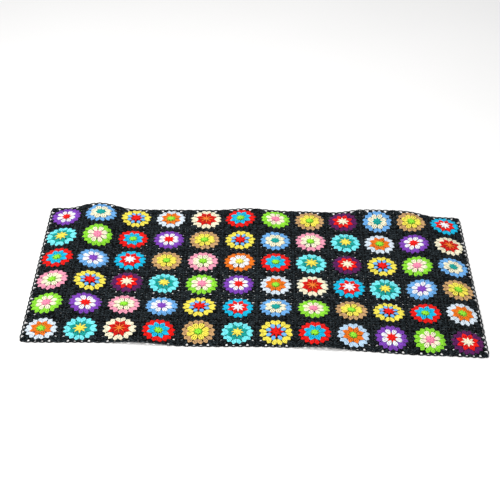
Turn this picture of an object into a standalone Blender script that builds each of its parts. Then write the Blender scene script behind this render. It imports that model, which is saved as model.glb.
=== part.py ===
"""A granny square blanket laid out flat: crocheted squares joined into one sheet, with a narrow edging.

Metres, +Z up. X runs along the columns of squares and Y along the rows, to the back. The origin is the
middle of the blanket's footprint. The cloth lies on Z = 0, except along a few soft folds.

Places on the cloth are given on a lattice with two steps to a square: a joint or an outer side is an even
number, and the middle of a square is an odd one. Between lattice points the cloth is flat.
"""

import math
from typing import NamedTuple

import bmesh
import bpy
from mathutils import Vector

# The sheet of squares.
PITCH = 0.106  # side of a square, from joint to joint
COLUMNS = 12
ROWS = 6
OUTER_HALF = 0.048  # from the middle of a square to its side where no other square is joined
GROUND_THICKNESS = 0.0035  # the black rounds

# The flower in each square, raised above the black ground.
PETALS = 8
RIM_RADIUS = 0.0435  # at the tips of the outer round
NOTCH_RADIUS = 0.0405  # between the groups of the outer round
CROWN_RADIUS = 0.026  # along the tops of the middle round's petals
RIM_RISE = 0.0015
CROWN_RISE = 0.003
HEART_RISE = 0.002

# The largest gaps between stitches, one beside each diagonal of a square.
GAP_RADIUS = 0.050  # from the middle of the square to the middle of the gap
GAP_ANGLE = math.radians(33.75)
GAP_SIZE = 0.0056

# The edging, a narrow round with small arches.
SEAM = 0.0003  # between the sheet and the edging
EDGING_THICKNESS = 0.003
EDGING_VALLEY = 0.003  # width between two arches
EDGING_ARCH = 0.0025  # how far an arch stands out beyond the valleys
ARCHES_PER_SQUARE = 5
STEPS_PER_ARCH = 4


class Fold(NamedTuple):
    """A soft ridge. Its ends are counted in squares from the middle of the blanket."""

    start: tuple[float, float]
    end: tuple[float, float]
    height: float
    reach: float  # from the crest to the flat cloth


FOLDS = (
    # start, end, height, reach
    Fold((-4.6, 3.2), (-4.5, 1.9), 0.024, 0.110),  # hump at the back left
    Fold((3.2, 3.2), (4.3, 2.9), 0.018, 0.110),  # hump at the back right
    Fold((-5.0, -1.7), (-5.0, 1.6), 0.012, 0.106),  # along the joint of the two columns at the left
    Fold((5.2, -1.6), (4.8, 2.2), 0.012, 0.110),  # along the joint of the two columns at the right
    Fold((-3.9, -2.0), (-1.2, -2.0), 0.008, 0.106),  # along the joint of the two rows in front
    Fold((0.4, -2.0), (4.3, -2.0), 0.010, 0.106),
    Fold((-0.3, 3.2), (-0.1, 2.3), 0.008, 0.110),  # ripples that run into the cloth from its sides
    Fold((1.6, -3.2), (1.8, -2.6), 0.009, 0.106),
    Fold((-2.9, -3.2), (-3.0, -2.7), 0.007, 0.106),
)

# How far the cloth is pulled out of square.
COLUMN_DRIFT = 0.004
BACK_BOW = 0.008
FRONT_DROP = 0.018
FRONT_WAVE = 0.003

# The flowers, a letter each, from the front row to the back row.
CHART = (
    "ABCDEBFDGHIJ",
    "IHKLFMNIEFDA",
    "KFJBIHACMBLE",
    "DLMEKODBJFIN",
    "BIDHEFNKBAHC",
    "HNFACDIEJNEM",
)
YARNS = {
    "white": (0.90, 0.88, 0.84),
    "cream": (0.88, 0.80, 0.60),
    "pale blue": (0.66, 0.80, 0.92),
    "light cyan": (0.20, 0.80, 0.88),
    "cyan": (0.02, 0.52, 0.88),
    "cornflower": (0.13, 0.36, 0.84),
    "teal": (0.01, 0.33, 0.33),
    "green": (0.22, 0.80, 0.06),
    "yellow": (0.96, 0.76, 0.08),
    "tan": (0.66, 0.36, 0.16),
    "orange": (0.96, 0.18, 0.01),
    "red": (0.86, 0.01, 0.01),
    "dark red": (0.48, 0.01, 0.02),
    "pink": (0.86, 0.10, 0.30),
    "purple": (0.17, 0.03, 0.42),
    "plum": (0.10, 0.02, 0.12),
}
BLACK_YARN = (0.012, 0.012, 0.014)
YARN_ROUGHNESS = 0.9
SHARP_ANGLE = math.radians(40.0)  # edges sharper than this are shaded as edges
COLOURWAYS = {
    # letter: outer round, middle round
    "A": ("white", "orange"),
    "B": ("light cyan", "teal"),
    "C": ("cream", "dark red"),
    "D": ("red", "cyan"),
    "E": ("tan", "yellow"),
    "F": ("yellow", "cornflower"),
    "G": ("pale blue", "orange"),
    "H": ("purple", "white"),
    "I": ("green", "cream"),
    "J": ("plum", "red"),
    "K": ("pink", "cream"),
    "L": ("cornflower", "white"),
    "M": ("cyan", "red"),
    "N": ("cornflower", "cream"),
    "O": ("orange", "white"),
}


def eased(value):
    """0 below 0 and 1 above 1, with a smooth rise between."""
    value = min(max(value, 0.0), 1.0)
    return value * value * (3.0 - 2.0 * value)


def fold_height(x, y):
    """How high the folds lift the cloth at a flat place."""
    place = Vector((x, y))
    total = 0.0
    for fold in FOLDS:
        start = Vector(fold.start) * PITCH
        run = Vector(fold.end) * PITCH - start
        along = min(max((place - start).dot(run) / run.length_squared, 0.0), 1.0)
        away = (place - start - run * along).length / fold.reach
        if away < 1.0:
            total += (fold.height * 0.5 * (1.0 + math.cos(math.pi * away))) ** 2
    return math.sqrt(total)


def draped(x, y):
    """Where a flat place of the cloth's underside lies."""
    across = x / (0.5 * COLUMNS * PITCH)
    back = y / (0.5 * ROWS * PITCH)
    front_share = 0.5 * (1.0 - back)
    drift = COLUMN_DRIFT * math.cos(2.6 * (across - 0.15))
    bow = BACK_BOW * math.cos(2.9 * (across - 0.2)) * (1.0 - front_share)
    drop = FRONT_DROP * eased((across - 0.38) / 0.37) * front_share**2
    wave = FRONT_WAVE * math.sin(9.0 * across + 1.0) * front_share
    return Vector((x + drift, y + bow - drop + wave, fold_height(x, y)))


def lattice_line(count):
    """The flat places of the outer sides, joints and middles of a line of squares."""
    last = 0.5 * (count - 1) * PITCH
    inner = [0.5 * PITCH * step - last for step in range(2 * count - 1)]
    return [-last - OUTER_HALF, *inner, last + OUTER_HALF]


LATTICE = [[draped(x, y) for y in lattice_line(ROWS)] for x in lattice_line(COLUMNS)]


def underside(g, h):
    """The cloth's underside at a lattice place, which may lie between the lattice's own points."""
    i = 2 * min(int(g // 2), COLUMNS - 1) + 1
    j = 2 * min(int(h // 2), ROWS - 1) + 1
    side_i = i + (1 if g >= i else -1)
    side_j = j + (1 if h >= j else -1)
    a, b = abs(g - i), abs(h - j)
    side = LATTICE[side_i][j] if a >= b else LATTICE[i][side_j]
    far, near = max(a, b), min(a, b)
    return LATTICE[i][j] * (1.0 - far) + side * (far - near) + LATTICE[side_i][side_j] * near


def yarn_material(name, colour):
    """A matt yarn of one colour."""
    material = bpy.data.materials.new(name)
    material.use_nodes = True
    shader = material.node_tree.nodes["Principled BSDF"]
    shader.inputs["Base Color"].default_value = (*colour, 1.0)
    shader.inputs["Roughness"].default_value = YARN_ROUGHNESS
    shader.inputs["Metallic"].default_value = 0.0
    material.diffuse_color = (*colour, 1.0)
    return material


class Body:
    """A closed mesh in the making, whose faces share the vertices that they name alike."""

    def __init__(self):
        self.mesh = bmesh.new()
        self.found = {}

    def vertex(self, key, place):
        """The vertex of this name, made at its first use."""
        if key not in self.found:
            self.found[key] = self.mesh.verts.new(place)
        return self.found[key]

    def face(self, corners, material=0):
        """A face over these vertices."""
        self.mesh.faces.new(corners).material_index = material

    def strip(self, upper, lower):
        """A wall between two lines of vertices."""
        for first, second, third, fourth in zip(upper, upper[1:], lower[1:], lower):
            self.face((first, second, third, fourth))

    def finish(self, name, materials, parent):
        """The body as an object with these materials."""
        bmesh.ops.recalc_face_normals(self.mesh, faces=self.mesh.faces)
        data = bpy.data.meshes.new(name)
        self.mesh.to_mesh(data)
        self.mesh.free()
        data.shade_smooth()
        data.set_sharp_from_angle(angle=SHARP_ANGLE)
        for material in materials:
            data.materials.append(material)
        piece = bpy.data.objects.new(name, data)
        piece.parent = parent
        bpy.context.scene.collection.objects.link(piece)
        return piece


class Square:
    """One square of the sheet, with its flower, its gaps and its share of the underside."""

    def __init__(self, body, column, row, outer, middle):
        self.body = body
        self.g = 2 * column + 1
        self.h = 2 * row + 1
        self.outer = outer
        self.middle = middle

    def corner(self, a, b, rise=None):
        """The vertex at (a, b), each from -1 to 1 across the square: on top, or below with no rise."""
        g = self.g + a
        h = self.h + b
        key = (round(g, 5), round(h, 5), rise is None)
        lift = 0.0 if rise is None else GROUND_THICKNESS + rise
        return self.body.vertex(key, underside(g, h) + Vector((0.0, 0.0, lift)))

    def on_circle(self, radius, angle, rise=None):
        """The vertex at this radius and angle from the middle."""
        unit = radius / (0.5 * PITCH)
        return self.corner(unit * math.cos(angle), unit * math.sin(angle), rise)

    def flower(self):
        """The raised flower. Returns the vertices of its rim, two to a petal."""
        half = math.pi / PETALS
        heart = self.corner(0.0, 0.0, HEART_RISE)
        crown = [self.on_circle(CROWN_RADIUS, half * (2 * k + 1), CROWN_RISE) for k in range(PETALS)]
        rim = []
        for k in range(2 * PETALS):
            radius = RIM_RADIUS if k % 2 else NOTCH_RADIUS
            rim.append(self.on_circle(radius, half * k, RIM_RISE))
        for k, top in enumerate(crown):
            following = crown[(k + 1) % PETALS]
            notch = rim[(2 * k + 2) % len(rim)]
            self.body.face((heart, top, following), self.middle)
            self.body.face((top, rim[2 * k], rim[2 * k + 1]), self.outer)
            self.body.face((top, rim[2 * k + 1], notch), self.outer)
            self.body.face((top, notch, following), self.outer)
        return rim

    def gap(self, quarter, rise):
        """The four corners of the gap in this quarter: inner, far, outer and near."""
        angle = GAP_ANGLE + 0.5 * math.pi * quarter
        half = math.hypot(GAP_SIZE, GAP_SIZE) / 2.0
        turned = math.atan2(half, GAP_RADIUS)
        beside = math.hypot(GAP_RADIUS, half)
        return (
            self.on_circle(GAP_RADIUS - half, angle, rise),
            self.on_circle(beside, angle + turned, rise),
            self.on_circle(GAP_RADIUS + half, angle, rise),
            self.on_circle(beside, angle - turned, rise),
        )

    def ground(self, rim):
        """The black ground round the flower, its underside, and the gaps through both."""
        below_middle = self.corner(0.0, 0.0)
        for quarter in range(4):
            turn = 0.5 * math.pi * quarter
            across = (round(math.cos(turn)), round(math.sin(turn)))
            up = (-across[1], across[0])
            diagonal = (across[0] + up[0], across[1] + up[1])
            first = 4 * quarter
            points = [rim[(first + k) % len(rim)] for k in range(5)]
            side, corner, next_side = (self.corner(*place, 0.0) for place in (across, diagonal, up))
            below = [self.corner(*place) for place in (across, diagonal, up)]
            inner, far, outer, near = self.gap(quarter, 0.0)
            low_inner, low_far, low_outer, low_near = self.gap(quarter, None)
            self.body.face((points[1], inner, far, outer, corner, points[2]))
            self.body.face((points[0], side, corner, outer, near, inner, points[1]))
            self.body.face((points[2], corner, next_side, points[4], points[3]))
            self.body.face((below_middle, low_inner, low_far, low_outer, below[1]))
            self.body.face((below_middle, below[0], below[1], low_outer, low_near, low_inner))
            self.body.face((below_middle, below[1], below[2]))
            self.body.strip(
                (inner, far, outer, near, inner),
                (low_inner, low_far, low_outer, low_near, low_inner),
            )


def outer_ring():
    """The lattice points along the sheet's outer sides, in order, each with its outward direction."""
    wide, deep = 2 * COLUMNS, 2 * ROWS
    places = [(g, 0) for g in range(wide)]
    places += [(wide, h) for h in range(deep)]
    places += [(g, deep) for g in range(wide, 0, -1)]
    places += [(0, h) for h in range(deep, 0, -1)]
    ring = []
    for g, h in places:
        outward = Vector(((g == wide) - (g == 0), (h == deep) - (h == 0), 0))
        ring.append((g, h, outward))
    return ring


def build_sheet(yarns, materials, parent):
    """All the squares, joined into one closed sheet."""
    body = Body()
    for row, letters in enumerate(CHART):
        for column, letter in enumerate(letters):
            outer, middle = (yarns[name] for name in COLOURWAYS[letter])
            square = Square(body, column, row, outer, middle)
            square.ground(square.flower())
    ring = outer_ring()
    ring.append(ring[0])
    upper = [body.found[(g, h, False)] for g, h, _ in ring]
    lower = [body.found[(g, h, True)] for g, h, _ in ring]
    body.strip(upper, lower)
    return body.finish("squares_sheet", materials, parent)


def build_edging(materials, parent):
    """The narrow round along the outer sides, its outer line a row of small arches."""
    body = Body()
    ring = outer_ring()
    count = len(ring)
    arches = 0.5 * ARCHES_PER_SQUARE
    steps = round(arches * STEPS_PER_ARCH)
    lift = Vector((0.0, 0.0, EDGING_THICKNESS))
    for k in range(count):
        first, second = ring[k], ring[(k + 1) % count]
        start, end = underside(*first[:2]), underside(*second[:2])
        inner = [start + first[2] * SEAM, end + second[2] * SEAM]
        outer = []
        for step in range(steps + 1):
            share = step / steps
            outward = first[2].lerp(second[2], share)
            arch = abs(math.sin(math.pi * arches * (k + share)))
            width = SEAM + EDGING_VALLEY + EDGING_ARCH * arch
            outer.append(start.lerp(end, share) + outward * width)
        names = [("inner", k), ("inner", (k + 1) % count)]
        names += [("outer", (k * steps + step) % (count * steps)) for step in range(steps + 1)]
        places = inner + outer
        low = [body.vertex((*name, "low"), place) for name, place in zip(names, places)]
        high = [body.vertex((*name, "high"), place + lift) for name, place in zip(names, places)]
        body.face((high[1], high[0], *high[2:]))
        body.face((low[1], low[0], *low[2:]))
        body.strip(high[:2], low[:2])
        body.strip(high[2:], low[2:])
    return body.finish("edging", materials, parent)


def footprint_middle(pieces):
    """The middle of the box round these pieces, on the plane that they lie on."""
    places = [vertex.co for piece in pieces for vertex in piece.data.vertices]
    middle = [0.5 * (min(p[axis] for p in places) + max(p[axis] for p in places)) for axis in (0, 1)]
    return Vector((*middle, 0.0))


def main():
    """Clears the scene and builds the blanket."""
    for old in list(bpy.data.objects):
        bpy.data.objects.remove(old)
    blanket = bpy.data.objects.new("blanket", None)
    bpy.context.scene.collection.objects.link(blanket)
    materials = [yarn_material("black yarn", BLACK_YARN)]
    materials += [yarn_material(f"{name} yarn", colour) for name, colour in YARNS.items()]
    yarns = {name: slot for slot, name in enumerate(YARNS, start=1)}
    sheet = build_sheet(yarns, materials, blanket)
    edging = build_edging(materials[:1], blanket)
    blanket.location = -footprint_middle((sheet, edging))


main()
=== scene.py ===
"""A granny square blanket of crocheted yarn, laid out flat with a few soft folds.

Seventy-two squares in fifteen colourways are joined into one cloth, twelve across and six deep, and a
narrow black round runs along the outside. Every stitch is a strand of plied yarn with its own shape. The
strands are laid out on a flat cloth first and then bent over the folds, so all pieces lie together.

Metres, +Z up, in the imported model's frame: X across the columns, Y from the front row to the back row.
Tables of stitches are in millimetres, because a crocheter would measure them so.
"""

import logging
import math
from dataclasses import dataclass, field, replace
from enum import Enum
from typing import Any, NamedTuple

import bpy
import numpy as np
from mathutils import Matrix, Vector
from mathutils.geometry import delaunay_2d_cdt


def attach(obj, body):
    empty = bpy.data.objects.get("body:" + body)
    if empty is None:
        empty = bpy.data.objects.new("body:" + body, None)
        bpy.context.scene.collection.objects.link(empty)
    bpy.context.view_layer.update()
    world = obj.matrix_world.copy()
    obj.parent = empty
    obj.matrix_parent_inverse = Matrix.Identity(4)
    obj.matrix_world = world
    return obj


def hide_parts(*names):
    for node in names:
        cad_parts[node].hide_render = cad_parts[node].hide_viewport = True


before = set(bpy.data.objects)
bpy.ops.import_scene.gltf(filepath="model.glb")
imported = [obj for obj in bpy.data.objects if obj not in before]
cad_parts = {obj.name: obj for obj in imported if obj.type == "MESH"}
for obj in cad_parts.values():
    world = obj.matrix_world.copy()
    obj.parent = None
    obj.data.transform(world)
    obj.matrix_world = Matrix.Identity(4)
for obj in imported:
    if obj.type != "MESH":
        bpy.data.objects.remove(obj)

Array = np.ndarray
Span = tuple[float, float]
Sides = tuple[bool, bool, bool, bool]
MM = 0.001
RIGHT_ANGLE = 90.0
BODY = "root"
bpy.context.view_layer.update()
EDGING_REACH = 5.8 * MM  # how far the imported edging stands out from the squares
LOG = logging.getLogger("blanket")


# ---------------------------------------------------------------------------------------------------------
# How the cloth lies


class Fold(NamedTuple):
    """A soft ridge in the cloth. Its ends are counted in squares from the middle of the blanket."""

    start: Span
    end: Span
    height: float  # in metres, as the reach
    reach: float  # from the ridge to where the cloth lies flat again


FOLDS = (
    Fold((-4.6, 3.2), (-4.5, 1.9), 0.024, 0.110),  # hump at the back left
    Fold((3.2, 3.2), (4.3, 2.9), 0.018, 0.110),  # hump at the back right
    Fold((-5.0, -1.7), (-5.0, 1.6), 0.012, 0.106),  # between the two columns at the left
    Fold((5.2, -1.6), (4.8, 2.2), 0.012, 0.110),  # between the two columns at the right
    Fold((-3.9, -2.0), (-1.2, -2.0), 0.008, 0.106),  # between the two rows in front
    Fold((0.4, -2.0), (4.3, -2.0), 0.010, 0.106),
    Fold((-0.3, 3.2), (-0.1, 2.3), 0.008, 0.110),  # ripples that run in from the sides
    Fold((1.6, -3.2), (1.8, -2.6), 0.009, 0.106),
    Fold((-2.9, -3.2), (-3.0, -2.7), 0.007, 0.106),
)


class Wave(NamedTuple):
    """A slow wave across the blanket, which pulls the rows or the columns out of line."""

    height: float
    turns: float  # radians over half the blanket's length
    peak: float  # as a share of half the blanket's length

    def at(self, across: Array) -> Array:
        """How far the wave pulls the cloth at these shares of half the length."""
        return self.height * np.cos(self.turns * (across - self.peak))


@dataclass(frozen=True)
class Cloth:
    """The flat cloth's sizes, and where each flat place comes to lie on the surface."""

    pitch: float = 0.106
    columns: int = 12
    rows: int = 6
    outer_half: float = 0.048  # from a square's middle to its side where no other square is joined
    flower: float = 0.0445  # from a square's middle, what keeps its size at such a side
    dome: float = 0.0012  # how far a square's middle stands up
    column_drift: Wave = Wave(0.004, 2.6, 0.15)
    back_bow: Wave = Wave(0.008, 2.9, 0.2)
    front_wave: Wave = Wave(0.003, 9.0, 0.063)
    front_drop: float = 0.018  # how far the right half's front side comes forward
    drop_span: Span = (0.38, 0.75)  # where that starts and is full, across the half
    folds: tuple[Fold, ...] = FOLDS
    middle: Span = (0.0, 0.0)
    rim_samples: int = 240  # along each side, to find the middle of the footprint

    @property
    def half(self) -> float:
        """From the middle of a square to its joined sides."""
        return 0.5 * self.pitch

    @property
    def half_width(self) -> float:
        """From the middle of the flat cloth to its left or right side."""
        return 0.5 * (self.columns - 1) * self.pitch + self.outer_half

    @property
    def half_depth(self) -> float:
        """From the middle of the flat cloth to its front or back side."""
        return 0.5 * (self.rows - 1) * self.pitch + self.outer_half

    def outer_sides(self, column: int, row: int) -> Sides:
        """Whether the right, back, left and front side of a square joins nothing."""
        return column == self.columns - 1, row == self.rows - 1, column == 0, row == 0

    def lift(self, x: Array, y: Array) -> Array:
        """How high the folds raise the cloth.

        Args:
            x: places on the flat cloth, across its columns.
            y: the same places from its front to its back.

        Returns:
            The height of the underside at each place.
        """
        total = np.zeros_like(x)
        for fold in self.folds:
            start = np.array(fold.start) * self.pitch
            run = np.array(fold.end) * self.pitch - start
            along = np.clip(((x - start[0]) * run[0] + (y - start[1]) * run[1]) / run.dot(run), 0.0, 1.0)
            away = np.hypot(x - start[0] - along * run[0], y - start[1] - along * run[1]) / fold.reach
            bell = np.where(away < 1.0, 0.5 * (1.0 + np.cos(np.pi * away)), 0.0)
            total += (fold.height * bell) ** 2
        return np.sqrt(total)

    def underside(self, x: Array, y: Array) -> Array:
        """Where flat places of the underside lie.

        Args:
            x: places on the flat cloth, across its columns.
            y: the same places from its front to its back.

        Returns:
            One row of three coordinates for each place.
        """
        across = x / (0.5 * self.columns * self.pitch)
        back = y / (0.5 * self.rows * self.pitch)
        front = 0.5 * (1.0 - back)
        start, full = self.drop_span
        eased = np.clip((across - start) / (full - start), 0.0, 1.0)
        eased = eased * eased * (3.0 - 2.0 * eased)
        drift = self.column_drift.at(across)
        bow = self.back_bow.at(across) * (1.0 - front)
        drop = self.front_drop * eased * front**2
        wave = self.front_wave.at(across) * front
        places = np.stack([x + drift, y + bow - drop + wave, self.lift(x, y)], axis=-1)
        return places - np.array([*self.middle, 0.0])

    def place(self, flat: Array) -> Array:
        """Bends points of the flat cloth over the folds.

        Args:
            flat: rows of x, y and the height above the underside.

        Returns:
            The same points where they lie.
        """
        x, y, z = flat[:, 0], flat[:, 1], flat[:, 2:3]
        base = self.underside(x, y)
        normal = np.cross(self.underside(x + MM, y) - base, self.underside(x, y + MM) - base)
        normal /= np.linalg.norm(normal, axis=1, keepdims=True)
        return base + normal * z

    def from_square(self, column: int, row: int, local: Array) -> Array:
        """Moves points from a square's own middle to the flat cloth.

        Beyond the flower, the black round is drawn in at the blanket's outer sides, where it joins nothing.

        Args:
            column: the square's column, from the left.
            row: the square's row, from the front.
            local: rows of x, y and height, from the middle of the square.

        Returns:
            The same points on the flat cloth.
        """
        flat = local.copy()
        distance = (local[:, 0] ** 2 + local[:, 1] ** 2) / self.half**2
        flat[:, 2] += self.dome * np.clip(1.0 - distance, 0.0, None)
        drawn_in = (self.half - self.outer_half) / (self.half - self.flower)
        right, back, left, front = self.outer_sides(column, row)
        for axis, side, outer in ((0, 1.0, right), (1, 1.0, back), (0, -1.0, left), (1, -1.0, front)):
            if outer:
                beyond = np.clip(side * flat[:, axis] - self.flower, 0.0, None)
                flat[:, axis] -= side * drawn_in * beyond
        flat[:, 0] += (column - 0.5 * (self.columns - 1)) * self.pitch
        flat[:, 1] += (row - 0.5 * (self.rows - 1)) * self.pitch
        return flat

    def centred(self, reach: float) -> "Cloth":
        """The same cloth, moved so that the middle of its footprint is the origin.

        Args:
            reach: how far the edging stands out from the squares.

        Returns:
            The cloth with its middle set.
        """
        share = np.linspace(-1.0, 1.0, self.rim_samples)
        wide = share * (self.half_width + reach)
        deep = share * (self.half_depth + reach)
        sides = [(wide, np.full_like(wide, sign * (self.half_depth + reach))) for sign in (-1, 1)]
        sides += [(np.full_like(deep, sign * (self.half_width + reach)), deep) for sign in (-1, 1)]
        rim = np.concatenate([self.underside(x, y) for x, y in sides])
        middle = 0.5 * (rim.min(axis=0) + rim.max(axis=0))
        return replace(self, middle=(float(middle[0]), float(middle[1])))


# ---------------------------------------------------------------------------------------------------------
# Yarn


class Yarn(Enum):
    """The colours of the acrylic yarn, as sRGB hex values."""

    BLACK = "#0F1315"
    WHITE = "#F8F8FA"
    CREAM = "#FDF6D6"
    ICE = "#E4F1FB"
    PALE_BLUE = "#C6E4FB"
    LIGHT_CYAN = "#7EF4FA"
    CYAN = "#10C2EA"
    CORNFLOWER = "#74B6F0"
    TEAL = "#12A89E"
    GREEN = "#98EC38"
    YELLOW = "#FDEC58"
    TAN = "#DDB078"
    ORANGE = "#F57C18"
    AMBER = "#FF8A30"
    RED = "#F61208"
    SCARLET = "#DE1204"
    PINK = "#FB92B2"
    ROSE = "#FCA6BE"
    PURPLE = "#8A48C4"
    PLUM = "#641E60"


class Petal(Enum):
    """How the middle round's petals are shaped."""

    POINTED = "pointed"
    ROUND = "round"
    TEARDROP = "teardrop"
    PUFF = "puff"


class Heart(Enum):
    """How the first round looks: a long or a short star, thin rays, or a button with dimples."""

    STAR = "star"
    BLOOM = "bloom"
    RAYS = "rays"
    BUTTON = "button"


class Colourway(NamedTuple):
    """The yarns of a square, from its outer round to its heart, and the shapes of its rounds."""

    outer: Yarn
    middle: Yarn
    centre: Yarn
    petal: Petal
    heart: Heart


COLOURWAYS = {
    "A": Colourway(Yarn.ICE, Yarn.ORANGE, Yarn.GREEN, Petal.POINTED, Heart.BUTTON),
    "B": Colourway(Yarn.LIGHT_CYAN, Yarn.TEAL, Yarn.YELLOW, Petal.POINTED, Heart.STAR),
    "C": Colourway(Yarn.CREAM, Yarn.SCARLET, Yarn.AMBER, Petal.POINTED, Heart.RAYS),
    "D": Colourway(Yarn.RED, Yarn.CYAN, Yarn.GREEN, Petal.POINTED, Heart.BUTTON),
    "E": Colourway(Yarn.TAN, Yarn.YELLOW, Yarn.GREEN, Petal.ROUND, Heart.BUTTON),
    "F": Colourway(Yarn.YELLOW, Yarn.CORNFLOWER, Yarn.RED, Petal.PUFF, Heart.STAR),
    "G": Colourway(Yarn.PALE_BLUE, Yarn.ORANGE, Yarn.GREEN, Petal.POINTED, Heart.BUTTON),
    "H": Colourway(Yarn.PURPLE, Yarn.WHITE, Yarn.RED, Petal.TEARDROP, Heart.BLOOM),
    "I": Colourway(Yarn.GREEN, Yarn.CREAM, Yarn.PINK, Petal.TEARDROP, Heart.BLOOM),
    "J": Colourway(Yarn.PLUM, Yarn.RED, Yarn.CREAM, Petal.POINTED, Heart.STAR),
    "K": Colourway(Yarn.ROSE, Yarn.CREAM, Yarn.GREEN, Petal.ROUND, Heart.BUTTON),
    "L": Colourway(Yarn.CORNFLOWER, Yarn.WHITE, Yarn.PURPLE, Petal.TEARDROP, Heart.BLOOM),
    "M": Colourway(Yarn.CYAN, Yarn.RED, Yarn.WHITE, Petal.POINTED, Heart.STAR),
    "N": Colourway(Yarn.CORNFLOWER, Yarn.CREAM, Yarn.TEAL, Petal.ROUND, Heart.BLOOM),
    "O": Colourway(Yarn.ORANGE, Yarn.WHITE, Yarn.YELLOW, Petal.ROUND, Heart.BUTTON),
}

# The colourway of each square, from the front row to the back row.
CHART = (
    "ABCDEBFDGHIJ",
    "IHKLFMNIEFDA",
    "KFJBIHACMBLE",
    "DLMEKODBJFIN",
    "BIDHEFNKBAHC",
    "HNFACDIEJNEM",
)


def linear(hex_colour: str) -> tuple[float, float, float, float]:
    """Turns an sRGB hex value to a linear colour with full alpha.

    Args:
        hex_colour: the colour as #RRGGBB.

    Returns:
        Red, green, blue and alpha.
    """
    channels = [int(hex_colour[i : i + 2], 16) / 255.0 for i in (1, 3, 5)]
    lit = [c / 12.92 if c <= 0.04045 else ((c + 0.055) / 1.055) ** 2.4 for c in channels]
    return lit[0], lit[1], lit[2], 1.0


def add_node(
    tree: bpy.types.NodeTree,
    kind: str,
    settings: dict[str, Any] | None = None,
    inputs: dict[str | int, Any] | None = None,
) -> bpy.types.Node:
    """Adds a node with its settings and its inputs.

    Args:
        tree: the tree that gets the node.
        kind: the node's type.
        settings: attributes of the node.
        inputs: a value, or another node's output to link from, for each input by name or number.

    Returns:
        The new node.
    """
    node = tree.nodes.new(kind)
    for name, value in (settings or {}).items():
        setattr(node, name, value)
    for name, value in (inputs or {}).items():
        if isinstance(value, bpy.types.NodeSocket):
            tree.links.new(value, node.inputs[name])
        else:
            node.inputs[name].default_value = value
    return node


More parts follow.
